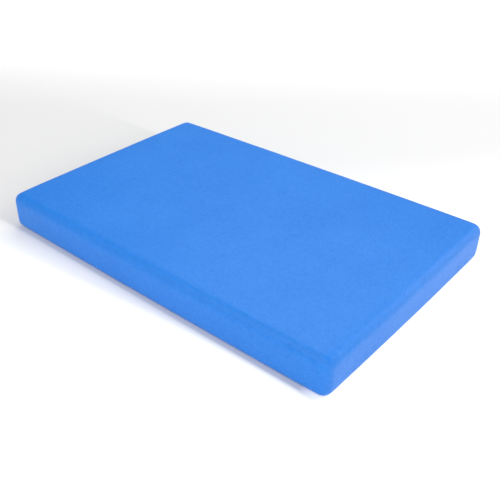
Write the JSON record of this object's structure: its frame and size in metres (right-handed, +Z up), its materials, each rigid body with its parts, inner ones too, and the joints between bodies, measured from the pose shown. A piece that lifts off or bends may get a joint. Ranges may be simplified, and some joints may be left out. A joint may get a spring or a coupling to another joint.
{
  "type": "leg cushion",
  "caption": "Flat rectangular foam cushion with a smooth blue skin, a flat top, upright sides and softly rounded edges and corners, laid under or between the legs.",
  "frame": {"origin": "centre of the flat underside, on the surface the cushion lies on", "axes": "+X along the long sides, +Y along the short sides, +Z up out of the top"},
  "size_m": [0.6028, 0.4028, 0.06],
  "materials": {
    "foam_skin": "matt blue skin on soft foam, with a very fine pebble grain"
  },
  "bodies": {
    "root": {"cushion": "foam_skin"}
  },
  "joints": []
}
